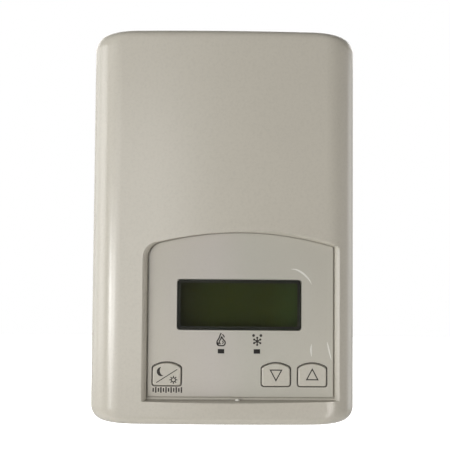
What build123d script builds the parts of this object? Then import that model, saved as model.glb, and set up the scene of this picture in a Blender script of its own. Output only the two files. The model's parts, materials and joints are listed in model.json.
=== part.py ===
from build123d import *
import math
import os

# Wall thermostat. Millimetres, +Z up, +X to the right seen from the room.
# The wall is the plane y = 0 and the front faces -Y. "Depth" is distance from the wall, so depth d is y = -d.

# Cover
WIDTH = 86.0
HEIGHT = 127.0
DEPTH = 29.0
WALL = 2.0
FRONT_RADIUS = 430.0
SIDE_RADIUS = 10.6
CORNER_RADIUS = 5.3
EDGE_RADIUS = 2.4
COVER_BACK = 1.5
TOP_BACK = 3.0

# Recessed panel on the front
FILM_LEFT = -23.92
FILM_RIGHT = 35.5
FILM_BOTTOM = -54.75
FILM_TOP_RIGHT = -6.75
FILM_APEX = (5.6, -2.35)
FILM_CORNER = 4.6
FILM_THICK = 0.3
FLOOR = 25.2
GROOVE_DEPTH = 24.2
PAN_BACK = 22.9

# Distances outside the film: left, right, bottom, top, and top at its right end
GROOVE_EDGE = (0.45, 0.50, 0.40, 0.16, 0.30)
LEDGE_EDGE = (0.45, 0.60, 1.05, 0.16, 0.35)
MOUTH_EDGE = (2.30, 2.25, 1.95, 0.85, 2.30)
MOUTH_DEPTH = (28.25, 26.45, 29.0, 28.95, 28.0)
MOUTH_CORNER = 1.6
FLUSH = (0, 0, 0, 0, 0)

# Display window
WINDOW_X = 5.22
WINDOW_Z = -25.44
WINDOW_W = 40.2
WINDOW_H = 16.44
WINDOW_LEDGE = 0.9
WINDOW_THICK = 1.05

# Keys and lights
KEY_XS = {"override": -17.88, "down": 17.13, "up": 28.79}
KEY_Z = -47.7
KEY_W = 9.05
KEY_H = 7.25
KEY_RISE = 1.5
KEY_GAP = 0.2
KEY_TOP = 25.8
LIGHT_XS = {"heat": -0.54, "cool": 11.0}
LIGHT_Z = -40.35
LIGHT_W = 2.0
LIGHT_H = 1.36

# Hinge hooks at the top
HINGE_DEPTH = 4.0
HINGE_Z = 59.0
BEAD_R = 1.2
BEAD_FIT = 0.05
HOOK_X = 22.0
HOOK_W = 6.0
HOOK_R = 2.4

# Base plate and board
BASE_W = 80.0
BASE_TOP = 57.5
BASE_BOTTOM = -60.4
BASE_THICK = 2.2
RIM = 1.6
RIM_DEPTH = 7.0
BOX_SPACING = 83.3
ROUND_SPACING = 60.3
SLOT_R = 2.1
SLOT_LENGTH = 8.0
WIRE_X = 14.0
WIRE_Z = (6.0, 34.0)
BOARD_W = 74.0
BOARD_TOP = 55.0
BOARD_BOTTOM = -57.0
BOARD_BACK = 9.0
BOARD_FRONT = 10.6
BOARD_SCREWS = [(-34.0, 52.0), (34.0, 52.0), (-34.0, -54.2), (34.0, -54.2)]

# Terminals
POLES = 8
PITCH = 5.08
TERMINAL_Z = 27.5
TERMINAL_LEN = 42.4
HEADER_X = (28.0, 36.4)
PLUG_X = (18.2, 27.8)
TERMINAL_FRONT = 20.4


def block(x0, x1, d0, d1, z0, z1):
    """A box between two x values, two depths and two heights."""
    size = Box(x1 - x0, d1 - d0, z1 - z0)
    return Pos((x0 + x1) / 2, -(d0 + d1) / 2, (z0 + z1) / 2) * size


def post(x, z, r, d0, d1):
    """A round post that stands out from the wall, from depth d0 to d1."""
    return Pos(x, -(d0 + d1) / 2, z) * Rot(90, 0, 0) * Cylinder(r, d1 - d0)


def face_out(sketch, d0, d1):
    """A front-view sketch (local x, y = world x, z) given thickness from depth d0 to d1."""
    return extrude(Plane.XZ.offset(d0) * sketch, amount=d1 - d0)


def closed(points, closing=True):
    """Straight lines through a list of points, as one face."""
    return make_face(Polyline(*points, close=closing))


# ---------------------------------------------------------------- cover shape

def plan_section(inset, corner_angle):
    """Plan section of the cover at one angle round its top corner: 0 is the full section."""
    corner = CORNER_RADIUS - inset
    edge = EDGE_RADIUS - inset
    half = WIDTH / 2 - CORNER_RADIUS + corner * math.cos(corner_angle)
    rise = corner * math.sin(corner_angle) - (corner - edge)
    if rise <= 0:
        depth = DEPTH - inset
    else:
        depth = DEPTH - EDGE_RADIUS + math.sqrt(max(edge * edge - rise * rise, 0.0))
    front_r = FRONT_RADIUS - inset
    side_r = SIDE_RADIUS - inset
    centre_x = half - side_r
    front_y = front_r - depth
    centre_y = front_y - math.sqrt((front_r - side_r) ** 2 - centre_x ** 2)
    start = math.atan2(centre_y - front_y, centre_x)
    touch_x = front_r * math.cos(start)
    touch_y = front_y + front_r * math.sin(start)
    middle = (centre_x + side_r * math.cos(start / 2), centre_y + side_r * math.sin(start / 2))
    back = -COVER_BACK if inset == 0 else 1.0
    return make_face([
        ThreePointArc((-touch_x, touch_y), (0, -depth), (touch_x, touch_y)),
        ThreePointArc((touch_x, touch_y), middle, (half, centre_y)),
        Line((half, centre_y), (half, back)),
        Line((half, back), (-half, back)),
        Line((-half, back), (-half, centre_y)),
        ThreePointArc((-half, centre_y), (-middle[0], middle[1]), (-touch_x, touch_y)),
    ])


def cover_solid(inset):
    """The cover's outside (inset 0) or the space inside it."""
    straight = HEIGHT / 2 - CORNER_RADIUS
    middle = extrude(plan_section(inset, 0), amount=straight, both=True)
    sections = []
    for step in range(9):
        angle = math.radians(step * 90 / 8)
        z = straight + (CORNER_RADIUS - inset) * math.sin(angle)
        sections.append(Pos(0, 0, z) * plan_section(inset, angle))
    cap = loft(sections)
    return middle + cap + mirror(cap, about=Plane.XY)


# --------------------------------------------------------------- panel outline

def arch_z(x):
    """Height of the panel's arched top edge above a given x."""
    half = FILM_RIGHT - FILM_APEX[0]
    drop = FILM_APEX[1] - FILM_TOP_RIGHT
    radius = (half * half + drop * drop) / (2 * drop)
    return FILM_APEX[1] - radius + math.sqrt(radius ** 2 - (x - FILM_APEX[0]) ** 2)


def panel_wire(left, right, bottom, top, end, corner):
    """Outline of the panel, each side moved out by its own amount."""
    x0 = FILM_LEFT - left
    x1 = FILM_RIGHT + right
    z0 = FILM_BOTTOM - bottom
    r = FILM_CORNER
    bend_x = x0 + r
    bend_z = arch_z(bend_x) + top
    side_z = bend_z - r * 1.12
    mid = (x0 + r * 0.29, bend_z - r * 0.36)
    x_mid = FILM_APEX[0] + 8
    turn_x = x1 - corner
    turn_z = arch_z(turn_x) + end
    edge_z = turn_z - corner * 1.25
    knee = (x1 - corner * 0.29, turn_z - corner * 0.44)
    return [
        ThreePointArc((bend_x, bend_z), (x_mid, arch_z(x_mid) + top), (turn_x, turn_z)),
        ThreePointArc((turn_x, turn_z), knee, (x1, edge_z)),
        Line((x1, edge_z), (x1, z0)),
        Line((x1, z0), (x0, z0)),
        Line((x0, z0), (x0, side_z)),
        ThreePointArc((x0, side_z), mid, (bend_x, bend_z)),
    ]


def panel_face(edges, corner=0.35):
    return make_face(panel_wire(*edges, corner))


def panel_block(edges, d0, d1):
    return face_out(panel_face(edges), d0, d1)


def recess_cut():
    """The recess: a flat ledge, then sides that round over into the front of the cover."""
    sections = [Plane.XZ.offset(FLOOR) * panel_face(LEDGE_EDGE)]
    for depth in (25.6, 26.0, 26.25, 26.45, 27.0, 27.5, 27.9, 28.2, 28.5, 28.8, 29.8):
        edges = []
        for ledge, mouth, reach in zip(LEDGE_EDGE, MOUTH_EDGE, MOUTH_DEPTH):
            part = (depth - FLOOR) / (reach - FLOOR)
            curve = 1 - math.sqrt(1 - min(part, 0.97) ** 2)
            edges.append(ledge + (mouth - ledge) * (curve + 2.0 * max(part - 0.97, 0)))
        corner = 0.35 + (MOUTH_CORNER - 0.35) * min(1, (depth - FLOOR) / 1.2)
        sections.append(Plane.XZ.offset(depth) * panel_face(edges, corner))
    return loft(sections, ruled=True)


def key_face(x, grow):
    """Front view of a key: flat foot, straight sides, arched top."""
    half = KEY_W / 2 + grow
    foot = KEY_Z - KEY_H / 2 - grow
    crown = KEY_Z + KEY_H / 2 + grow
    shoulder = crown - KEY_RISE
    outline = make_face([
        Line((x - half, foot), (x + half, foot)),
        Line((x + half, foot), (x + half, shoulder)),
        ThreePointArc((x + half, shoulder), (x, crown), (x - half, shoulder)),
        Line((x - half, shoulder), (x - half, foot)),
    ])
    return fillet(outline.vertices(), 0.8 + grow * 0.5)


def window_face(grow, corner):
    shape = RectangleRounded(WINDOW_W + 2 * grow, WINDOW_H + 2 * grow, corner)
    return Pos(WINDOW_X, WINDOW_Z) * shape


def light_face(x, grow):
    return Pos(x, LIGHT_Z) * Rectangle(LIGHT_W + 2 * grow, LIGHT_H + 2 * grow)


def x_rod(x0, x1, r, depth=HINGE_DEPTH, z=HINGE_Z):
    return Pos((x0 + x1) / 2, -depth, z) * Rot(0, 90, 0) * Cylinder(r, x1 - x0)


# -------------------------------------------------------------------- the parts

def make_cover():
    outside = cover_solid(0)
    inside = cover_solid(WALL)
    pan = panel_block((4.4, 5.4, 4.2, 4.0, 4.6), PAN_BACK, DEPTH + 1)
    shell = outside - (inside - pan)

    # Recess, the bed the film is stuck on, and the groove round it
    shell -= recess_cut()
    shell -= panel_block(FLUSH, FLOOR - FILM_THICK, FLOOR + 1)
    shell -= panel_block(GROOVE_EDGE, GROOVE_DEPTH, FLOOR + 1) \
        - panel_block(FLUSH, GROOVE_DEPTH - 1, FLOOR - FILM_THICK)

    # Window, key and light cut-outs
    shell -= face_out(window_face(0, 1.05), FLOOR - WINDOW_THICK, FLOOR + 1)
    shell -= face_out(window_face(-WINDOW_LEDGE, 0.6), PAN_BACK - 1, FLOOR)
    for x in KEY_XS.values():
        shell -= face_out(key_face(x, KEY_GAP), PAN_BACK - 1, FLOOR + 1)
    for x in LIGHT_XS.values():
        shell -= face_out(light_face(x, 0.05), PAN_BACK - 1, FLOOR + 1)

    # Moulding pip on the lower slope
    shell += post(4.75, FILM_BOTTOM - 1.35, 0.6, FLOOR - 0.5, FLOOR + 1.5)

    # Air slots through the top and bottom walls
    for side in (1, -1):
        for i in range(-7, 8):
            if side < 0 and abs(i) < 1:
                continue
            z0, z1 = sorted((side * (HEIGHT / 2 - WALL - 1), side * (HEIGHT / 2 + 1)))
            shell -= block(i * 4 - 0.9, i * 4 + 0.9, 10, 21, z0, z1)

    # Relief that lets the top edge tip towards the wall
    shell -= block(-WIDTH, WIDTH, 0, TOP_BACK, HINGE_Z + 1.5, HEIGHT)

    # Hinge beads hung from the top wall
    for x in (-HOOK_X, HOOK_X):
        half = HOOK_W / 2 + 1
        web = block(x - half, x + half, HINGE_DEPTH - 0.6, HINGE_DEPTH + 0.6,
                    HINGE_Z, HEIGHT / 2 - WALL + 0.2)
        shell += web + x_rod(x - half, x + half, BEAD_R)

    # Seat and hole for the lock screw in the bottom wall
    seat_z = -HEIGHT / 2
    shell += Pos(0, -6.5, seat_z + WALL) * Cylinder(3.6, 0.8, align=(Align.CENTER, Align.CENTER, Align.MIN)) \
        - block(-5, 5, 0, 2.8, -HEIGHT / 2, -HEIGHT / 2 + 4)
    shell -= Pos(0, -6.5, seat_z) * Cylinder(2.5, 1.4, align=(Align.CENTER, Align.CENTER, Align.MIN))
    shell -= Pos(0, -6.5, seat_z) * Cylinder(1.35, 5, align=(Align.CENTER, Align.CENTER, Align.MIN))
    return shell


def make_film():
    film = panel_block(FLUSH, FLOOR - FILM_THICK, FLOOR)
    film -= face_out(window_face(0, 1.05), FLOOR - 1, FLOOR + 1)
    for x in KEY_XS.values():
        film -= face_out(key_face(x, KEY_GAP), FLOOR - 1, FLOOR + 1)
    for x in LIGHT_XS.values():
        film -= face_out(light_face(x, 0.05), FLOOR - 1, FLOOR + 1)
    return film


def make_window():
    return face_out(window_face(-0.1, 1.0), FLOOR - WINDOW_THICK, FLOOR - 0.05)


def make_key(x):
    cap = face_out(key_face(x, 0), PAN_BACK - 1, KEY_TOP)
    cap = fillet(cap.faces().sort_by(Axis.Y)[0].edges(), 0.45)
    flange = face_out(key_face(x, 0.9), PAN_BACK - 1, PAN_BACK - 0.05)
    return cap + flange + post(x, KEY_Z, 2.0, 20.05, PAN_BACK - 1)


def make_light_pipe(x):
    rod = face_out(light_face(x, 0), 12.4, FLOOR - 0.05)
    collar = face_out(light_face(x, 0.7), PAN_BACK - 0.8, PAN_BACK)
    return rod + collar


def make_base():
    mid_z = (BASE_TOP + BASE_BOTTOM) / 2
    tall = BASE_TOP - BASE_BOTTOM
    base = face_out(Pos(0, mid_z) * RectangleRounded(BASE_W, tall, 4.8), 0, BASE_THICK)
    for side in (1, -1):
        x0, x1 = sorted((side * (BASE_W / 2 - RIM), side * BASE_W / 2))
        base += block(x0, x1, BASE_THICK - 0.2, RIM_DEPTH, BASE_BOTTOM + 5, BASE_TOP - 6)
    foot = block(-34, 34, BASE_THICK - 0.2, RIM_DEPTH + 2, BASE_BOTTOM, BASE_BOTTOM + RIM)
    base += foot - block(-1.7, 1.7, 4.7, RIM_DEPTH + 3, BASE_BOTTOM - 1, BASE_BOTTOM + 3)

    # Cable opening with a low collar, and slots that fit a square or a round box
    base += block(-WIRE_X - 1.4, WIRE_X + 1.4, BASE_THICK - 0.2, 4.5, WIRE_Z[0] - 1.4, WIRE_Z[1] + 1.4)
    base -= block(-WIRE_X, WIRE_X, -1, 6, *WIRE_Z)
    for z in (BOX_SPACING / 2, -BOX_SPACING / 2):
        base -= face_out(Pos(0, z) * SlotOverall(SLOT_LENGTH, 2 * SLOT_R, rotation=90), -1, 5)
    for x in (ROUND_SPACING / 2, -ROUND_SPACING / 2):
        base -= face_out(Pos(x, 0) * SlotOverall(SLOT_LENGTH, 2 * SLOT_R), -1, 5)

    # Standoffs for the board
    for x, z in BOARD_SCREWS:
        base += post(x, z, 3.0, BASE_THICK - 0.2, BOARD_BACK)
        base -= post(x, z, 1.25, BASE_THICK + 0.8, BOARD_BACK + 1)

    # Stiffening ribs
    for z in (-20.0, -50.0, 46.0):
        base += block(-30, 30, BASE_THICK - 0.2, 3.4, z - 0.6, z + 0.6) \
            - post(0, z, 8.0, 0, 6)

    # Open hooks that hold the cover's beads
    for x in (-HOOK_X, HOOK_X):
        ring = x_rod(x - HOOK_W / 2, x + HOOK_W / 2, HOOK_R)
        stem = block(x - HOOK_W / 2, x + HOOK_W / 2, 0, HINGE_DEPTH + 1.4, HINGE_Z - HOOK_R - 1.4,
                     HINGE_Z - 1.0)
        throat = [(0, 0)]
        for angle in (15, 70, 125):
            throat.append((6 * math.cos(math.radians(angle)), 6 * math.sin(math.radians(angle))))
        wedge = extrude(Plane.YZ.offset(x - HOOK_W) * Pos(-HINGE_DEPTH, HINGE_Z) * closed(throat),
                        amount=2 * HOOK_W)
        hook = ring + stem - wedge - x_rod(x - HOOK_W, x + HOOK_W, BEAD_R + BEAD_FIT)
        base += hook
    return base


def make_board():
    mid_z = (BOARD_TOP + BOARD_BOTTOM) / 2
    tall = BOARD_TOP - BOARD_BOTTOM
    board = face_out(Pos(0, mid_z) * RectangleRounded(BOARD_W, tall, 2), BOARD_BACK, BOARD_FRONT)
    board -= face_out(Pos(0, 20) * RectangleRounded(22, 30, 3), BOARD_BACK - 1, BOARD_FRONT + 1)
    for x, z in BOARD_SCREWS:
        board -= post(x, z, 1.6, BOARD_BACK - 1, BOARD_FRONT + 1)
    return board


def make_board_screws():
    screws = []
    for x, z in BOARD_SCREWS:
        head = post(x, z, 2.6, BOARD_FRONT, BOARD_FRONT + 1.7)
        head = fillet(head.faces().sort_by(Axis.Y)[0].edges(), 0.7)
        cross = Pos(x, -BOARD_FRONT - 1.7, z) * (Box(3.0, 1.6, 0.7) + Box(0.7, 1.6, 3.0))
        screws.append(head + post(x, z, 1.2, BASE_THICK + 1.5, BOARD_FRONT) - cross)
    return screws


def pole_zs():
    return [TERMINAL_Z + (i - (POLES - 1) / 2) * PITCH for i in range(POLES)]


def mirrored(x0, x1, side):
    return tuple(sorted((side * x0, side * x1)))


def make_header(side):
    z0 = TERMINAL_Z - TERMINAL_LEN / 2
    z1 = TERMINAL_Z + TERMINAL_LEN / 2
    x0, x1 = mirrored(*HEADER_X, side)
    body = block(x0, x1, BOARD_FRONT, TERMINAL_FRONT, z0, z1)
    c0, c1 = mirrored(HEADER_X[0] - 1, HEADER_X[1] - 1.6, side)
    return body - block(c0, c1, BOARD_FRONT + 1.4, TERMINAL_FRONT - 1.4, z0 + 1, z1 - 1)


def make_pins(side):
    pins = []
    for z in pole_zs():
        x0, x1 = mirrored(HEADER_X[0] - 1.0, HEADER_X[1] - 1.6, side)
        pins.append(block(x0, x1, 15.0, 16.0, z - 0.5, z + 0.5))
    return pins


def make_plug(side):
    z0 = TERMINAL_Z - TERMINAL_LEN / 2 + 0.2
    z1 = TERMINAL_Z + TERMINAL_LEN / 2 - 0.2
    x0, x1 = mirrored(*PLUG_X, side)
    plug = block(x0, x1, BOARD_FRONT + 0.3, TERMINAL_FRONT, z0, z1)
    n0, n1 = mirrored(PLUG_X[1] - 0.2, HEADER_X[1] - 2.2, side)
    plug += block(n0, n1, BOARD_FRONT + 1.7, TERMINAL_FRONT - 1.7, z0 + 1.1, z1 - 1.1)
    for z in pole_zs():
        s0, s1 = mirrored(HEADER_X[0] - 2.0, HEADER_X[1], side)
        plug -= block(s0, s1, 14.7, 16.3, z - 0.8, z + 0.8)
        w0, w1 = mirrored(PLUG_X[0] - 1, PLUG_X[0] + 5.2, side)
        plug -= block(w0, w1, 11.8, 15.2, z - 1.7, z + 1.7)
        plug -= post(side * (PLUG_X[0] + 3.6), z, 1.75, 16.4, TERMINAL_FRONT + 1)
    return plug


def make_plug_screws(side):
    screws = []
    for z in pole_zs():
        x = side * (PLUG_X[0] + 3.6)
        screw = post(x, z, 1.65, 16.4, 19.4)
        screws.append(screw - Pos(x, -19.4, z) * Box(0.6, 1.6, 4))
    return screws


def make_relays():
    relays = []
    for x in (-31.0, -19.8, -8.6, 2.6):
        case = block(x - 5.1, x + 5.1, BOARD_FRONT, BOARD_FRONT + 11, -11, 4.6)
        relays.append(fillet(case.edges().filter_by(Axis.Y), 0.6))
    return relays


def make_capacitors():
    cans = []
    for x, z, r, tall in ((14.6, -6.4, 4.0, 11.0), (14.6, 2.2, 3.2, 9.0), (0.0, 43.0, 4.0, 10.5)):
        can = post(x, z, r, BOARD_FRONT, BOARD_FRONT + tall)
        can = fillet(can.faces().sort_by(Axis.Y)[0].edges(), 0.6)
        groove = post(x, z, r + 1, BOARD_FRONT + 1.2, BOARD_FRONT + 1.9) \
            - post(x, z, r - 0.35, BOARD_FRONT + 1, BOARD_FRONT + 2)
        cans.append(can - groove)
    return cans


def make_inductor():
    ring = Pos(26.5, -BOARD_FRONT - 3.2, -2.0) * Rot(90, 0, 0) * Torus(4.4, 2.2)
    return ring & block(10, 40, BOARD_FRONT, BOARD_FRONT + 8, -20, 20)


def make_chips():
    chips = []
    for x, z, w, h, tall in ((-28.5, -24.0, 10.0, 10.0, 1.5), (-28.0, -37.0, 5.0, 4.0, 1.6),
                             (33.6, -20.0, 4.0, 5.0, 1.6), (33.6, -32.0, 4.0, 5.0, 1.6)):
        chips.append(block(x - w / 2, x + w / 2, BOARD_FRONT, BOARD_FRONT + tall, z - h / 2, z + h / 2))
    return chips


def make_crystal():
    can = face_out(Pos(-28.5, -31.6) * SlotOverall(8.0, 3.6), BOARD_FRONT, BOARD_FRONT + 3.4)
    return can


def make_varistor():
    disc = Pos(6.5, -BOARD_FRONT - 4.6, 50.4) * Rot(0, 90, 0) * Cylinder(4.2, 3.0)
    return disc + block(5.5, 7.5, BOARD_FRONT, BOARD_FRONT + 3, 48.4, 52.4)


def make_network_header():
    body = block(-13.0, -3.0, BOARD_FRONT, BOARD_FRONT + 7.0, 48.8, 54.0)
    return body - block(-12.0, -4.0, BOARD_FRONT + 2.0, BOARD_FRONT + 8, 49.8, 53.0)


def make_display_frame():
    w, h = 50.0, 25.4
    x0, x1 = WINDOW_X - w / 2, WINDOW_X + w / 2
    z0, z1 = WINDOW_Z - h / 2, WINDOW_Z + h / 2
    frame = block(x0, x1, BOARD_FRONT, 21.4, z0, z1)
    frame -= block(x0 + 1.4, x1 - 1.4, BOARD_FRONT - 1, 20.6, z0 + 1.4, z1 - 1.4)
    return frame - block(x0 + 4.4, x1 - 4.4, 20, 22, z0 + 4.0, z1 - 4.0)


def make_display_glass():
    return block(WINDOW_X - 23.3, WINDOW_X + 23.3, 18.4, 20.55, WINDOW_Z - 11.1, WINDOW_Z + 11.1)


def make_backlight():
    guide = block(WINDOW_X - 22.0, WINDOW_X + 22.0, 12.0, 18.2, WINDOW_Z - 8.6, WINDOW_Z + 8.6)
    for x in (-18.0, 18.0):
        guide += post(WINDOW_X + x, WINDOW_Z, 1.5, BOARD_FRONT, 12.2)
    return guide


def make_contact_strips():
    strips = []
    for side in (1, -1):
        z0, z1 = sorted((WINDOW_Z + side * 8.9, WINDOW_Z + side * 10.9))
        strips.append(block(WINDOW_X - 22, WINDOW_X + 22, BOARD_FRONT, 18.4, z0, z1))
    return strips


def make_lamp(x):
    lamp = block(x - 1.1, x + 1.1, BOARD_FRONT, BOARD_FRONT + 0.5, LIGHT_Z - 0.8, LIGHT_Z + 0.8)
    return lamp + block(x - 0.7, x + 0.7, BOARD_FRONT + 0.4, 11.8, LIGHT_Z - 0.6, LIGHT_Z + 0.6)


def make_switch(x):
    case = block(x - 3, x + 3, BOARD_FRONT, 14.1, KEY_Z - 3, KEY_Z + 3)
    case = fillet(case.edges().filter_by(Axis.Y), 0.3)
    return case - post(x, KEY_Z, 1.8, 12.5, 15)


def make_plunger(x):
    return post(x, KEY_Z, 1.75, 13.2, 20.0)


def make_sensor():
    bead = Pos(4.0, -BOARD_FRONT - 6.0, -54.6) * Sphere(1.5)
    for x in (3.2, 4.8):
        bead += post(x, -54.6, 0.28, BOARD_FRONT, BOARD_FRONT + 5.6)
    return bead


def make_lock_screw():
    low = (Align.CENTER, Align.CENTER, Align.MIN)
    z = -HEIGHT / 2
    head = Pos(0, -6.5, z + 0.05) * Cylinder(2.35, 1.35, align=low)
    socket = Pos(0, -6.5, z) * extrude(RegularPolygon(1.0, 6), amount=0.9)
    return head + Pos(0, -6.5, z + 1.3) * Cylinder(1.25, 5.2, align=low) - socket


# ---------------------------------------------------------------------- export

os.makedirs("parts", exist_ok=True)


def save(name, shape):
    if isinstance(shape, list):
        shape = Compound(children=shape)
    export_step(shape, f"parts/{name}.step")


save("front_cover", make_cover())
save("overlay_film", make_film())
save("display_window", make_window())
save("base_plate", make_base())
save("main_board", make_board())
save("board_screws", make_board_screws())
for name, x in KEY_XS.items():
    save(f"key_{name}", make_key(x))
    save(f"switch_{name}", make_switch(x))
    save(f"plunger_{name}", make_plunger(x))
for name, x in LIGHT_XS.items():
    save(f"light_pipe_{name}", make_light_pipe(x))
    save(f"lamp_{name}", make_lamp(x))
for name, side in (("left", -1), ("right", 1)):
    save(f"terminal_header_{name}", make_header(side))
    save(f"terminal_pins_{name}", make_pins(side))
    save(f"terminal_plug_{name}", make_plug(side))
    save(f"plug_screws_{name}", make_plug_screws(side))
save("relays", make_relays())
save("capacitors", make_capacitors())
save("inductor", make_inductor())
save("chips", make_chips())
save("crystal", make_crystal())
save("varistor", make_varistor())
save("network_header", make_network_header())
save("display_frame", make_display_frame())
save("display_glass", make_display_glass())
save("display_backlight", make_backlight())
save("display_contact_strips", make_contact_strips())
save("temperature_sensor", make_sensor())
save("lock_screw", make_lock_screw())
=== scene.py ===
import json
import math

import bmesh
import bpy
from mathutils import Matrix, Vector


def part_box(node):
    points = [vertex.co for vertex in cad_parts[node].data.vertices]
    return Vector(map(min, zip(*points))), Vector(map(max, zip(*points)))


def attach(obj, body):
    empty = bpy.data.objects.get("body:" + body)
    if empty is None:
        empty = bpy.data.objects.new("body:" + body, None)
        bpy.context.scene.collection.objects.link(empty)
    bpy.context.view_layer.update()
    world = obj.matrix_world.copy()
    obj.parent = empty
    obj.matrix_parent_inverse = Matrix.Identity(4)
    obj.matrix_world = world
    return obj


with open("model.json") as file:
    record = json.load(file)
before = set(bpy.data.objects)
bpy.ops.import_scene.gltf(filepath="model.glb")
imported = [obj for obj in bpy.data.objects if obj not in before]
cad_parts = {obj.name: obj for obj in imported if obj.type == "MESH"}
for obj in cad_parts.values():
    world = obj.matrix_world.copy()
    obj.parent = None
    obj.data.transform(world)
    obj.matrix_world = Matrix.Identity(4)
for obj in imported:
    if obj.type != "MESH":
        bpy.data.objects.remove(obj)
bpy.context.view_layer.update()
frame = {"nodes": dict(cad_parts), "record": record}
NODES = frame["nodes"]
MM = 0.001

# Depths from the wall of the surfaces that marks are printed on
FILM_DEPTH = -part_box("overlay_film")[0].y
KEY_DEPTH = -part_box("key_up")[0].y
INK = 0.00003

# Front of a key and the alignment pip, in millimetres, as they are in the CAD
KEY_WIDTH, KEY_HEIGHT, KEY_RISE = 9.05, 7.25, 1.5
PIP_X, PIP_Z, PIP_RADIUS = 4.75, -56.1, 0.78
PIP_DEPTH = 0.0267


# ------------------------------------------------------------------ materials

class Shader:
    """A small helper that adds nodes to one material."""

    def __init__(self, name):
        self.material = bpy.data.materials.new(name)
        self.material.use_nodes = True
        self.tree = self.material.node_tree
        self.bsdf = self.tree.nodes["Principled BSDF"]
        self.coords = self.add("ShaderNodeTexCoord").outputs["Object"]

    def add(self, kind, **settings):
        node = self.tree.nodes.new(kind)
        for key, value in settings.items():
            setattr(node, key, value)
        return node

    def link(self, source, target):
        self.tree.links.new(source, target)

    def noise(self, scale, detail=3.0, stretch=(1, 1, 1), rough=0.5):
        """Noise over the object, scale in features per metre."""
        mapping = self.add("ShaderNodeMapping")
        mapping.inputs["Scale"].default_value = stretch
        self.link(self.coords, mapping.inputs["Vector"])
        node = self.add("ShaderNodeTexNoise")
        node.inputs["Scale"].default_value = scale
        node.inputs["Detail"].default_value = detail
        node.inputs["Roughness"].default_value = rough
        self.link(mapping.outputs["Vector"], node.inputs["Vector"])
        return node.outputs["Fac"]

    def along(self, axis, node_name):
        """Runs from 0 to 1 along one axis ("X" or "Z") of a CAD node's box."""
        split = self.add("ShaderNodeSeparateXYZ")
        self.link(self.coords, split.inputs["Vector"])
        place = self.add("ShaderNodeMapRange")
        low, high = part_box(node_name)
        place.inputs["From Min"].default_value = getattr(low, axis.lower())
        place.inputs["From Max"].default_value = getattr(high, axis.lower())
        self.link(split.outputs[axis], place.inputs["Value"])
        return place.outputs["Result"]

    def ramp(self, factor, stops):
        """Colours or greys along a factor: stops are (place, colour)."""
        node = self.add("ShaderNodeValToRGB")
        elements = node.color_ramp.elements
        while len(elements) < len(stops):
            elements.new(0.5)
        for element, (place, colour) in zip(elements, stops):
            element.position = place
            element.color = (*colour, 1) if len(colour) == 3 else colour
        self.link(factor, node.inputs["Fac"])
        return node.outputs["Color"]

    def grey(self, factor, low, high, start=0.3, end=0.7):
        return self.ramp(factor, [(start, (low,) * 3), (end, (high,) * 3)])

    def mix(self, factor, a, b, blend="MIX"):
        node = self.add("ShaderNodeMix", data_type="RGBA", blend_type=blend)
        for socket, value in (("Factor", factor), ("A", a), ("B", b)):
            target = [s for s in node.inputs if s.name == socket and s.enabled][0]
            if isinstance(value, bpy.types.NodeSocket):
                self.link(value, target)
            elif isinstance(value, (int, float)):
                target.default_value = value
            else:
                target.default_value = (*value, 1)
        return [s for s in node.outputs if s.enabled][0]

    def bump(self, height, distance, strength=1.0, under=None):
        node = self.add("ShaderNodeBump")
        node.inputs["Strength"].default_value = strength
        node.inputs["Distance"].default_value = distance
        self.link(height, node.inputs["Height"])
        if under is not None:
            self.link(under, node.inputs["Normal"])
        return node.outputs["Normal"]

    def set(self, **values):
        for name, value in values.items():
            socket = self.bsdf.inputs[name.replace("_", " ")]
            if isinstance(value, bpy.types.NodeSocket):
                self.link(value, socket)
            else:
                socket.default_value = value
        return self


def tint(colour, amount):
    return tuple(min(1.0, max(0.0, c * amount)) for c in colour)


def moulded(name, colour, rough=0.42, grain=2600, depth=0.00002, dirt=0.06):
    """Moulded plastic: fine spark grain, a slow random change of tone and a little handling dirt."""
    s = Shader(name)
    slow_tone = s.noise(28, detail=2)
    speck = s.noise(grain / 2, detail=3, rough=0.6)
    colour_a = s.ramp(slow_tone, [(0.3, tint(colour, 0.985)), (0.7, tint(colour, 1.012))])
    shade = s.ramp(speck, [(0.25, (1 - dirt,) * 3), (0.55, (1.0, 1.0, 1.0))])
    base = s.mix(1.0, colour_a, shade, "MULTIPLY")
    s.set(Base_Color=base, Specular_IOR_Level=0.5)
    s.set(Roughness=s.grey(s.noise(900, detail=3), rough * 0.95, rough * 1.06))
    coarse = s.bump(s.noise(grain / 3, detail=2), depth, 0.4)
    s.set(Normal=s.bump(s.noise(grain, detail=2), depth * 0.6, 0.7, coarse))
    return s.material


def printed_film():
    """Semi-gloss printed polycarbonate, a little wavy, with painted shade darkening it towards the top and
    painted light across it, lighter on the left.
    """
    s = Shader("printed_film")
    colour = (0.542, 0.519, 0.458)
    # Painted shade: the film's colour darkens from its bottom to its top.
    upright = [(0.1, tint(colour, 1.05)), (0.95, tint(colour, 0.92))]
    slow_tone = s.ramp(s.along("Z", "overlay_film"), upright)
    # Painted light across the film: lighter on the left half with a cool sheen left of the middle, darker
    # on the right half.
    painted_light_across = s.ramp(s.along("X", "overlay_film"), [
        (0.05, (1.02, 1.005, 0.99)), (0.35, (1.02, 1.00, 1.03)),
        (0.55, (0.955, 0.965, 0.955)), (0.95, (0.975, 0.975, 0.955))])
    slow_tone = s.mix(1.0, slow_tone, painted_light_across, "MULTIPLY")
    fleck = s.ramp(s.noise(1500, detail=4), [(0.3, (0.975,) * 3), (0.5, (1.0,) * 3)])
    s.set(Base_Color=s.mix(1.0, slow_tone, fleck, "MULTIPLY"), Specular_IOR_Level=0.5)
    s.set(Roughness=s.grey(s.noise(180, detail=5), 0.28, 0.33))
    s.set(Coat_Weight=0.15, Coat_Roughness=0.12)
    wave = s.bump(s.noise(45, detail=1), 0.00003, 0.5)
    s.set(Normal=s.bump(s.noise(2400, detail=2), 0.000008, 0.6, wave))
    return s.material


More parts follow.
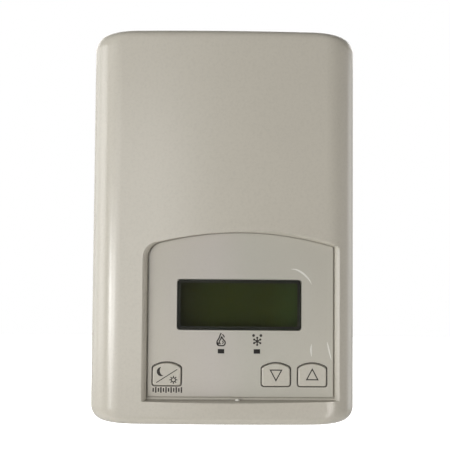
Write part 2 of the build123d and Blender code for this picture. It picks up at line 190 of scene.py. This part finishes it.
def ink():
    s = Shader("ink")
    density = s.noise(2500, detail=3)
    s.set(Base_Color=s.ramp(density, [(0.3, (0.016, 0.012, 0.009)), (0.7, (0.038, 0.030, 0.024))]))
    s.set(Roughness=s.grey(s.noise(900), 0.38, 0.55))
    return s.material


def clear_plastic(name, colour, rough=0.02, transmission=1.0):
    s = Shader(name)
    s.set(Base_Color=s.ramp(s.noise(60), [(0.3, tint(colour, 0.97)), (0.7, colour)]))
    s.set(Roughness=s.grey(s.noise(150, detail=4), rough, rough + 0.02))
    s.set(Transmission_Weight=transmission, IOR=1.49, Specular_Tint=(1.0, 0.97, 0.6, 1))
    return s.material


def display_face():
    """Unlit segment display: dark olive, with painted shade darkening its left end; lighter and a touch
    greener towards its right end.
    """
    s = Shader("display_glass")
    # Painted shade: darker at the left end, where the window's edge shades the display, lighter towards
    # the right.
    painted_shade_across = s.ramp(s.along("X", "display_glass"), [
        (0.05, (0.046, 0.041, 0.016)), (0.30, (0.056, 0.062, 0.008)),
        (0.72, (0.060, 0.068, 0.010)), (0.88, (0.070, 0.098, 0.024))])
    cloud = s.ramp(s.noise(40, detail=1), [(0.3, (0.90,) * 3), (0.7, (1.0,) * 3)])
    s.set(Base_Color=s.mix(1.0, painted_shade_across, cloud, "MULTIPLY"))
    s.set(Roughness=s.grey(s.noise(260), 0.50, 0.60), Specular_IOR_Level=0.2)
    return s.material


def board_mask():
    """Green solder mask with copper tracks showing through and pale silk-screen dust."""
    s = Shader("board_laminate")
    brick = s.add("ShaderNodeTexBrick", offset=0.5)
    turn = s.add("ShaderNodeMapping")
    turn.inputs["Rotation"].default_value = (math.radians(90), 0, 0)
    s.link(s.coords, turn.inputs["Vector"])
    s.link(turn.outputs["Vector"], brick.inputs["Vector"])
    brick.inputs["Scale"].default_value = 190
    brick.inputs["Mortar Size"].default_value = 0.06
    brick.inputs["Color1"].default_value = (0.012, 0.105, 0.035, 1)
    brick.inputs["Color2"].default_value = (0.016, 0.130, 0.045, 1)
    brick.inputs["Mortar"].default_value = (0.035, 0.200, 0.075, 1)
    patch = s.ramp(s.noise(120, detail=3), [(0.42, (0.85,) * 3), (0.55, (1.1,) * 3)])
    s.set(Base_Color=s.mix(1.0, brick.outputs["Color"], patch, "MULTIPLY"))
    s.set(Roughness=s.grey(s.noise(400), 0.28, 0.42), Coat_Weight=0.3, Coat_Roughness=0.2)
    s.set(Normal=s.bump(brick.outputs["Fac"], 0.00003, 0.6))
    return s.material


def metal(name, colour, rough=0.3, stretch=(1, 1, 12)):
    """Plated metal with drawn or turned streaks."""
    s = Shader(name)
    streak = s.noise(500, detail=4, stretch=stretch)
    s.set(Base_Color=s.ramp(streak, [(0.3, tint(colour, 0.86)), (0.7, colour)]), Metallic=1.0)
    s.set(Roughness=s.grey(streak, rough - 0.08, rough + 0.10))
    s.set(Normal=s.bump(streak, 0.00001, 0.5))
    return s.material


def sleeve(name, colour):
    """Shrink sleeve with a paler band down one side."""
    s = Shader(name)
    wave = s.ramp(s.noise(60, detail=1, stretch=(1, 0.1, 0.2)), [
        (0.56, colour), (0.60, tuple(0.6 * c + 0.25 for c in colour))])
    s.set(Base_Color=wave, Roughness=s.grey(s.noise(300), 0.22, 0.34))
    s.set(Coat_Weight=0.4, Coat_Roughness=0.15)
    return s.material


def winding():
    """Enamelled copper wire wound over a ring core."""
    s = Shader("inductor_core")
    wave = s.add("ShaderNodeTexWave", wave_type="BANDS", bands_direction="DIAGONAL")
    wave.inputs["Scale"].default_value = 420
    wave.inputs["Distortion"].default_value = 1.5
    s.link(s.coords, wave.inputs["Vector"])
    s.set(Base_Color=s.ramp(wave.outputs["Fac"], [(0.2, (0.10, 0.030, 0.010)), (0.6, (0.55, 0.20, 0.07))]))
    s.set(Metallic=0.7, Roughness=s.grey(s.noise(500), 0.25, 0.4))
    s.set(Normal=s.bump(wave.outputs["Fac"], 0.00015, 0.9))
    return s.material


BODY = (0.568, 0.536, 0.462)
SURFACES = {
    "cover_plastic": moulded("cover_plastic", BODY, 0.23),
    "printed_film": printed_film(),
    "clear_window": clear_plastic("clear_window", (0.90, 0.94, 0.90), 0.01),
    "light_pipe": moulded("light_pipe", (0.018, 0.016, 0.014), 0.25, dirt=0.3),
    "key_plastic": moulded("key_plastic", (0.585, 0.555, 0.480), 0.33, grain=2200),
    "base_plastic": moulded("base_plastic", (0.560, 0.530, 0.455), 0.45, dirt=0.15),
    "board_laminate": board_mask(),
    "screw_steel": metal("screw_steel", (0.62, 0.62, 0.60)),
    "clamp_steel": metal("clamp_steel", (0.66, 0.65, 0.62), 0.34),
    "switch_plastic": moulded("switch_plastic", (0.020, 0.020, 0.020), 0.40),
    "plunger_plastic": moulded("plunger_plastic", (0.62, 0.58, 0.50), 0.45),
    "lamp_resin_heat": clear_plastic("lamp_resin_heat", (0.85, 0.35, 0.28), 0.15, 0.6),
    "lamp_resin_cool": clear_plastic("lamp_resin_cool", (0.45, 0.80, 0.55), 0.15, 0.6),
    "header_plastic": moulded("header_plastic", (0.018, 0.150, 0.050), 0.42),
    "pin_metal": metal("pin_metal", (0.80, 0.70, 0.45), 0.22, (12, 1, 1)),
    "plug_plastic": moulded("plug_plastic", (0.025, 0.190, 0.070), 0.45, dirt=0.2),
    "relay_case": moulded("relay_case", (0.020, 0.040, 0.110), 0.35),
    "capacitor_can": sleeve("capacitor_can", (0.020, 0.022, 0.040)),
    "inductor_core": winding(),
    "chip_resin": moulded("chip_resin", (0.016, 0.016, 0.017), 0.50, dirt=0.35),
    "crystal_can": metal("crystal_can", (0.68, 0.68, 0.67), 0.24, (12, 1, 1)),
    "varistor_coating": moulded("varistor_coating", (0.020, 0.070, 0.300), 0.30, grain=700),
    "socket_plastic": moulded("socket_plastic", (0.72, 0.70, 0.62), 0.40),
    "frame_plastic": moulded("frame_plastic", (0.012, 0.012, 0.012), 0.45),
    "display_glass": display_face(),
    "light_guide": moulded("light_guide", (0.70, 0.72, 0.62), 0.25, grain=900),
    "contact_rubber": moulded("contact_rubber", (0.42, 0.30, 0.30), 0.60, grain=900),
    "sensor_coating": moulded("sensor_coating", (0.020, 0.020, 0.016), 0.35, grain=800),
}
INK_MATERIAL = ink()
# Pale colour for painted reflections on the film and a painted glint on the pip.
PAINTED_HIGHLIGHT_MATERIAL = moulded("painted_highlight_film", (0.800, 0.790, 0.730), 0.25)
BORDER_MATERIAL = moulded("border_ink", (0.021, 0.018, 0.010), 0.5)

for entry in frame["record"]["subparts"]:
    node = NODES[entry["node"]]
    node.data.materials.clear()
    node.data.materials.append(SURFACES[entry["material_slot"]])


# ---------------------------------------------------------------- printed marks

def finish_piece(bm, name, body, material):
    bmesh.ops.recalc_face_normals(bm, faces=bm.faces)
    mesh = bpy.data.meshes.new(name)
    bm.to_mesh(mesh)
    bm.free()
    mesh.materials.append(material)
    piece = bpy.data.objects.new(name, mesh)
    bpy.context.scene.collection.objects.link(piece)
    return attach(piece, body)


def slab(bm, outline, depth):
    """A flat shape of ink: an outline in millimetres (x, z), as a thin closed plate."""
    lower = [bm.verts.new((x * MM, -depth + INK * 0.3, z * MM)) for x, z in outline]
    upper = [bm.verts.new((x * MM, -depth - INK * 0.7, z * MM)) for x, z in outline]
    bm.faces.new(lower)
    bm.faces.new(upper)
    count = len(outline)
    for i in range(count):
        j = (i + 1) % count
        bm.faces.new((lower[i], lower[j], upper[j], upper[i]))


def line(bm, points, width, depth, closed=False):
    """A stroke of ink along points in millimetres (x, z), mitred at its bends."""
    count = len(points)
    left, right = [], []
    for i, point in enumerate(points):
        before = points[i - 1] if closed or i else None
        after = points[(i + 1) % count] if closed or i < count - 1 else None
        ways = []
        if before is not None:
            ways.append((Vector(point) - Vector(before)).normalized())
        if after is not None:
            ways.append((Vector(after) - Vector(point)).normalized())
        normals = [Vector((-way.y, way.x)) for way in ways]
        middle = sum(normals, Vector((0, 0))).normalized()
        reach = width / 2 / max(0.45, middle.dot(normals[0]))
        left.append(Vector(point) + middle * reach)
        right.append(Vector(point) - middle * reach)
    rings = []
    for a, b in zip(left, right):
        rings.append([
            bm.verts.new((a.x * MM, -depth + INK * 0.3, a.y * MM)),
            bm.verts.new((a.x * MM, -depth - INK * 0.7, a.y * MM)),
            bm.verts.new((b.x * MM, -depth - INK * 0.7, b.y * MM)),
            bm.verts.new((b.x * MM, -depth + INK * 0.3, b.y * MM)),
        ])
    spans = count if closed else count - 1
    for i in range(spans):
        a, b = rings[i], rings[(i + 1) % count]
        for k in range(4):
            m = (k + 1) % 4
            bm.faces.new((a[k], a[m], b[m], b[k]))
    if not closed:
        bm.faces.new(rings[0])
        bm.faces.new(rings[-1])


def arc(cx, cz, radius, start, end, steps):
    angles = [math.radians(start + (end - start) * i / steps) for i in range(steps + 1)]
    return [(cx + radius * math.cos(a), cz + radius * math.sin(a)) for a in angles]


def disc(bm, x, z, radius, depth, steps=14):
    slab(bm, arc(x, z, radius, 0, 360 - 360 / steps, steps - 1), depth)


def crescent(bm, outer, inner, depth, steps=18):
    """Filled moon between two arcs, each (x, z, radius, start, end) in millimetres and degrees."""
    a, b = arc(*outer, steps), arc(*inner, steps)
    rings = []
    for (ax, az), (bx, bz) in zip(a, b):
        rings.append([bm.verts.new((px * MM, -depth + lift, pz * MM)) for px, pz, lift in (
            (ax, az, INK * 0.3), (ax, az, -INK * 0.7), (bx, bz, -INK * 0.7), (bx, bz, INK * 0.3))])
    for one, two in zip(rings, rings[1:]):
        for k in range(4):
            m = (k + 1) % 4
            bm.faces.new((one[k], one[m], two[m], two[k]))
    bm.faces.new(rings[0])
    bm.faces.new(rings[-1])


def triangle_mark(name, body, x, z, up):
    """Outlined triangle on a key, pointing up or down."""
    sign = 1 if up else -1
    points = [(x - 1.80, z - sign * 1.50), (x, z + sign * 1.85), (x + 1.80, z - sign * 1.50)]
    bm = bmesh.new()
    line(bm, points, 0.36, KEY_DEPTH, closed=True)
    return finish_piece(bm, name, body, INK_MATERIAL)


def day_night_mark(x, z):
    """Moon above, sun below, and a slanting line between them."""
    bm = bmesh.new()
    crescent(bm, (x - 1.72, z + 0.80, 1.47, 92, 294), (x - 0.50, z + 1.09, 1.72, 138, 249), KEY_DEPTH)
    line(bm, [(x - 3.28, z - 2.71), (x + 3.38, z + 1.53)], 0.26, KEY_DEPTH)
    sun = (x + 2.17, z - 1.80)
    line(bm, arc(*sun, 0.66, 0, 342, 19), 0.30, KEY_DEPTH, closed=True)
    for i in range(8):
        a = math.radians(i * 45)
        way = (math.cos(a), math.sin(a))
        line(bm, [(sun[0] + way[0] * r, sun[1] + way[1] * r) for r in (0.76, 1.28)], 0.32, KEY_DEPTH)
    return finish_piece(bm, "mark_day_night", "override_key", INK_MATERIAL)


def key_outline(name, x, z):
    """Dark line printed on the film round a key: flat foot, straight sides, arched top."""
    grow, corner = 0.30, 0.95
    half, tall = KEY_WIDTH / 2 + grow, KEY_HEIGHT / 2 + grow
    shoulder = tall - KEY_RISE
    reach = (half ** 2 + KEY_RISE ** 2) / (2 * KEY_RISE)
    spread = math.degrees(math.asin((half - corner * 0.5) / reach))
    points = arc(x, z + tall - reach, reach, 90 - spread, 90 + spread, 18)
    points += arc(x - half + corner * 0.5, z + shoulder - corner * 0.5, corner * 0.5, 130, 180, 3)
    points += arc(x - half + corner, z - tall + corner, corner, 180, 270, 6)
    points += arc(x + half - corner, z - tall + corner, corner, 270, 360, 6)
    points += arc(x + half - corner * 0.5, z + shoulder - corner * 0.5, corner * 0.5, 0, 50, 3)
    bm = bmesh.new()
    line(bm, points, 0.17, FILM_DEPTH, closed=True)
    return finish_piece(bm, name, "cover", INK_MATERIAL)


def painted_reflection_streak(name, points, width):
    """Painted reflection on the film: a pale bent stroke that is widest in its middle."""
    bm = bmesh.new()
    run = smooth_curve(points, closed=False)
    ways = [(Vector(b) - Vector(a)).normalized() for a, b in zip(run, run[1:])]
    ways.append(ways[-1])
    left, right = [], []
    for i, (point, way) in enumerate(zip(run, ways)):
        half = width / 2 * math.sin(math.pi * (i + 0.6) / (len(run) + 0.2))
        left.append((point[0] - way.y * half, point[1] + way.x * half))
        right.append((point[0] + way.y * half, point[1] - way.x * half))
    slab(bm, left + right[::-1], FILM_DEPTH)
    return finish_piece(bm, name, "cover", PAINTED_HIGHLIGHT_MATERIAL)


def bar_strip(x, z):
    """Plain row of upright bars, tall and short in turn, under the left key."""
    bm = bmesh.new()
    for i in range(12):
        bar_x = x + (i - 5.5) * 0.82
        tall = 0.90 if i % 2 else 0.62
        line(bm, [(bar_x, z - tall), (bar_x, z + tall)], 0.46, FILM_DEPTH)
    return finish_piece(bm, "mark_bar_strip", "cover", INK_MATERIAL)


def smooth_curve(points, closed=True, steps=6):
    """Curve through points, a closed loop or an open run."""
    count = len(points)
    result = []
    for i in range(count if closed else count - 1):
        if closed:
            four = [Vector(points[(i + k - 1) % count]) for k in range(4)]
        else:
            four = [Vector(points[min(max(i + k - 1, 0), count - 1)]) for k in range(4)]
        p0, p1, p2, p3 = four
        for step in range(steps):
            t = step / steps
            place = 0.5 * ((2 * p1) + (p2 - p0) * t + (2 * p0 - 5 * p1 + 4 * p2 - p3) * t * t
                           + (3 * p1 - p0 - 3 * p2 + p3) * t ** 3)
            result.append((place.x, place.y))
    if not closed:
        result.append(tuple(points[-1]))
    return result


def shifted(points, x, z):
    return [(x + a, z + b) for a, b in points]


def flame_mark(x, z):
    """Flame: an outer tongue, a smaller one inside it, and a lick to the right."""
    bm = bmesh.new()
    outer = [(0.04, 2.02), (-0.36, 1.20), (-0.62, 0.45), (-1.20, -0.55), (-1.30, -1.30), (-0.95, -1.88),
             (-0.30, -2.00), (0.35, -2.02), (0.95, -1.90), (1.32, -1.35), (1.26, -0.65), (0.78, -0.12),
             (0.42, 0.42), (0.16, 0.95)]
    inner = [(0.16, 0.95), (-0.08, 0.15), (-0.46, -0.45), (-0.52, -1.05), (-0.20, -1.55)]
    core = [(0.42, -0.45), (0.72, -0.98), (0.40, -1.40)]
    lick = [(0.42, 1.62), (0.84, 1.14), (1.06, 0.62)]
    line(bm, smooth_curve(shifted(outer, x, z), closed=False), 0.42, FILM_DEPTH)
    line(bm, smooth_curve(shifted(inner, x, z), closed=False), 0.40, FILM_DEPTH)
    line(bm, smooth_curve(shifted(core, x, z), closed=False), 0.30, FILM_DEPTH)
    line(bm, smooth_curve(shifted(lick, x, z), closed=False), 0.38, FILM_DEPTH)
    disc(bm, x - 1.02, z - 1.38, 0.42, FILM_DEPTH)
    return finish_piece(bm, "mark_flame", "cover", INK_MATERIAL)


def snow_mark(x, z):
    """Snow: a six-armed flake with a dot at the end of each arm, and two dots above it."""
    bm = bmesh.new()
    disc(bm, x, z, 0.50, FILM_DEPTH)
    for i in range(6):
        a = math.radians(i * 60 + 30)
        way = Vector((math.cos(a), math.sin(a)))
        centre = Vector((x, z))
        line(bm, [centre + way * 0.35, centre + way * 1.02], 0.32, FILM_DEPTH)
        disc(bm, *(centre + way * 1.14), 0.36, FILM_DEPTH, 10)
    for side in (1, -1):
        disc(bm, x + side * 1.18, z + 1.86, 0.46, FILM_DEPTH, 12)
    return finish_piece(bm, "mark_snow", "cover", INK_MATERIAL)


def centre(name):
    """Middle of a node's front, in millimetres (x, z)."""
    low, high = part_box(name)
    return (low.x + high.x) / 2 / MM, (low.z + high.z) / 2 / MM


triangle_mark("mark_down", "down_key", *centre("key_down"), up=False)
triangle_mark("mark_up", "up_key", *centre("key_up"), up=True)
day_night_mark(*centre("key_override"))
bar_strip(centre("key_override")[0] + 0.22, centre("key_override")[1] - 5.08)
flame_mark(centre("light_pipe_heat")[0] - 0.02, centre("light_pipe_heat")[1] + 3.80)
snow_mark(centre("light_pipe_cool")[0] + 0.09, centre("light_pipe_cool")[1] + 3.25)


def painted_pip_glint(x, z, radius, foot):
    """Small pale dome on the alignment pip below the film: a painted glint."""
    bm = bmesh.new()
    rings = []
    for out, rise in ((1.0, -0.00010), (1.0, 0.00003), (0.82, 0.00014), (0.50, 0.00022)):
        rings.append([bm.verts.new((px * MM, -foot - rise, pz * MM))
                      for px, pz in arc(x, z, radius * out, 0, 345, 23)])
    for one, two in zip(rings, rings[1:]):
        for k in range(24):
            m = (k + 1) % 24
            bm.faces.new((one[k], one[m], two[m], two[k]))
    bm.faces.new(rings[0])
    bm.faces.new(rings[-1])
    return finish_piece(bm, "painted_pip_glint", "cover", PAINTED_HIGHLIGHT_MATERIAL)


for part in ("override", "down", "up"):
    key_outline("outline_" + part, *centre("key_" + part))
# Pale streaks painted where reflections lie on the film.
painted_reflection_streak("painted_reflection_arc", [(21.9, -13.8), (23.7, -14.0), (25.8, -15.2), (27.6, -17.0), (28.6, -18.7)], 0.60)
painted_reflection_streak("painted_reflection_short", [(28.6, -37.9), (28.4, -39.7), (28.6, -41.9)], 0.50)
painted_reflection_streak("painted_reflection_long", [(33.6, -37.1), (34.2, -39.7), (35.0, -43.0)], 0.50)


def window_border():
    """Black border printed round the back of the clear window, as a thin closed frame."""
    low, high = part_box("display_window")
    back = -(high.y - 0.00002)
    loops = []
    for shrink, radius in ((0.12, 0.85), (1.15, 0.45)):
        x0, x1 = low.x / MM + shrink, high.x / MM - shrink
        z0, z1 = low.z / MM + shrink, high.z / MM - shrink
        loop = []
        for cx, cz, start in ((x1 - radius, z1 - radius, 0), (x0 + radius, z1 - radius, 90),
                              (x0 + radius, z0 + radius, 180), (x1 - radius, z0 + radius, 270)):
            loop += arc(cx, cz, radius, start, start + 90, 6)
        loops.append(loop)
    bm = bmesh.new()
    rings = []
    for (ax, az), (bx, bz) in zip(*loops):
        rings.append([bm.verts.new((px * MM, -back + lift, pz * MM)) for px, pz, lift in (
            (ax, az, 0.00002), (ax, az, -0.00002), (bx, bz, -0.00002), (bx, bz, 0.00002))])
    for one, two in zip(rings, rings[1:] + rings[:1]):
        for k in range(4):
            m = (k + 1) % 4
            bm.faces.new((one[k], one[m], two[m], two[k]))
    return finish_piece(bm, "window_border", "cover", BORDER_MATERIAL)


window_border()
# Painted glint on the pip.
painted_pip_glint(PIP_X, PIP_Z, PIP_RADIUS, PIP_DEPTH)


# -------------------------------------------------------------- floor and light

# Name, azimuth, elevation, (width, height), radiance, and for some the distance and colour
LAMPS = [
    ("bulb_outer", -48, -3, (0.12, 0.10), 38),
    ("bulb_inner", -36, -3, (0.12, 0.10), 24.5),
    ("bulb_low", -42, -9, (0.12, 0.10), 10.7),
    ("window_outer", -29, 1, (0.17, 0.40), 2.68),
    ("window_middle", -19, 1, (0.17, 0.40), 1.37),
    ("window_inner", -9.5, 1, (0.17, 0.40), 2.6),
    ("window_soft", -22, 2, (0.60, 0.60), 0.34),
    ("window_far", -52, 12, (0.42, 0.60), 0.89),
    ("side_left", -85, 5, (0.5, 0.5), 3.6),
    ("back_left", -115, 5, (0.5, 0.5), 1.37),
    ("side_right", 85, 5, (0.5, 0.5), 0.7, 1.0, (1.0, 0.95, 0.91)),
    ("back_right", 115, 0, (0.5, 0.6), 1.6),
    ("bulb_right", 31, -12.5, (0.36, 0.12), 10.5, 1.0, (1.0, 0.96, 0.92)),
]
WORLD_BASE = 0.075
WORLD_BEHIND = 1.1


def make_floor():
    bm = bmesh.new()
    size = 6.0
    for x, y in ((-size, -size), (size, -size), (size, size), (-size, size)):
        bm.verts.new((x, y, -0.45))
    bm.faces.new(bm.verts)
    mesh = bpy.data.meshes.new("floor")
    bm.to_mesh(mesh)
    bm.free()
    s = Shader("floor")
    s.set(Base_Color=s.ramp(s.noise(6), [(0.3, (0.78,) * 3), (0.7, (0.80,) * 3)]), Roughness=0.9)
    # Light Path: the floor looks white to the camera, but lights the object no more than a pale floor
    s.set(Emission_Color=(0.70, 0.70, 0.70, 1))
    s.set(Emission_Strength=s.add("ShaderNodeLightPath").outputs["Is Camera Ray"])
    mesh.materials.append(s.material)
    floor = bpy.data.objects.new("floor", mesh)
    bpy.context.scene.collection.objects.link(floor)


def lamp(name, azimuth, elevation, size, radiance, away=1.0, colour=(1, 1, 1)):
    """Soft panel aimed at the object: degrees from straight ahead of it (right is plus), metres."""
    a, e = math.radians(azimuth), math.radians(elevation)
    place = Vector((math.sin(a) * math.cos(e), -math.cos(a) * math.cos(e), math.sin(e))) * away
    data = bpy.data.lights.new(name, "AREA")
    data.shape = "RECTANGLE"
    data.size, data.size_y = size
    data.energy = math.pi * size[0] * size[1] * radiance
    data.color = colour
    light = bpy.data.objects.new(name, data)
    light.location = place
    light.rotation_euler = (-place).to_track_quat("-Z", "Y").to_euler()
    light.visible_camera = False
    bpy.context.scene.collection.objects.link(light)
    return light


def make_floor_wash():
    """Wide panel behind the object, facing down, so the floor under it reads white."""
    data = bpy.data.lights.new("floor_wash", "AREA")
    data.shape = "RECTANGLE"
    data.size, data.size_y = 7.0, 4.0
    data.energy = 130
    light = bpy.data.objects.new("floor_wash", data)
    light.location = (0, 4.0, 1.6)
    light.visible_camera = False
    bpy.context.scene.collection.objects.link(light)


def make_world():
    """White to the camera. As a light it is bright behind the object and dim in front of it."""
    world = bpy.data.worlds.new("studio")
    bpy.context.scene.world = world
    world.use_nodes = True
    tree = world.node_tree
    seen = tree.nodes["Background"]
    seen.inputs["Color"].default_value = (1, 1, 1, 1)
    seen.inputs["Strength"].default_value = 1.0
    coords = tree.nodes.new("ShaderNodeTexCoord")
    split = tree.nodes.new("ShaderNodeSeparateXYZ")
    tree.links.new(coords.outputs["Generated"], split.inputs["Vector"])
    behind = tree.nodes.new("ShaderNodeMath")
    behind.operation = "MAXIMUM"
    behind.inputs[1].default_value = 0.0
    tree.links.new(split.outputs["Y"], behind.inputs[0])
    squared = tree.nodes.new("ShaderNodeMath")
    squared.operation = "POWER"
    squared.inputs[1].default_value = 2.0
    tree.links.new(behind.outputs["Value"], squared.inputs[0])
    strength = tree.nodes.new("ShaderNodeMath")
    strength.operation = "MULTIPLY_ADD"
    strength.inputs[1].default_value = WORLD_BEHIND
    strength.inputs[2].default_value = WORLD_BASE
    tree.links.new(squared.outputs["Value"], strength.inputs[0])
    fill = tree.nodes.new("ShaderNodeBackground")
    fill.inputs["Color"].default_value = (1.0, 0.99, 0.97, 1)
    tree.links.new(strength.outputs["Value"], fill.inputs["Strength"])
    path = tree.nodes.new("ShaderNodeLightPath")
    either = tree.nodes.new("ShaderNodeMixShader")
    tree.links.new(path.outputs["Is Camera Ray"], either.inputs["Fac"])
    tree.links.new(fill.outputs["Background"], either.inputs[1])
    tree.links.new(seen.outputs["Background"], either.inputs[2])
    tree.links.new(either.outputs["Shader"], tree.nodes["World Output"].inputs["Surface"])


def make_camera():
    """Face on from a third of a metre, a little low and looking slightly up."""
    pitch, roll, yaw = 0.0510, 0.0077, 0.0107
    ahead = Vector((math.sin(yaw) * math.cos(pitch), math.cos(yaw) * math.cos(pitch), math.sin(pitch)))
    level = ahead.cross(Vector((0, 0, 1))).normalized()
    above = level.cross(ahead)
    right = level * math.cos(roll) + above * math.sin(roll)
    up = above * math.cos(roll) - level * math.sin(roll)
    data = bpy.data.cameras.new("camera")
    data.sensor_width = 36
    data.lens = 74.07
    data.clip_start = 0.01
    camera = bpy.data.objects.new("camera", data)
    turn = Matrix((right, up, -ahead)).transposed().to_4x4()
    camera.matrix_world = Matrix.Translation((-0.00277, -0.32455, -0.01498)) @ turn
    bpy.context.scene.collection.objects.link(camera)
    bpy.context.scene.camera = camera


make_floor()
make_world()
make_camera()
for spec in LAMPS:
    lamp(*spec)
make_floor_wash()
bpy.context.scene.view_settings.view_transform = "Standard"
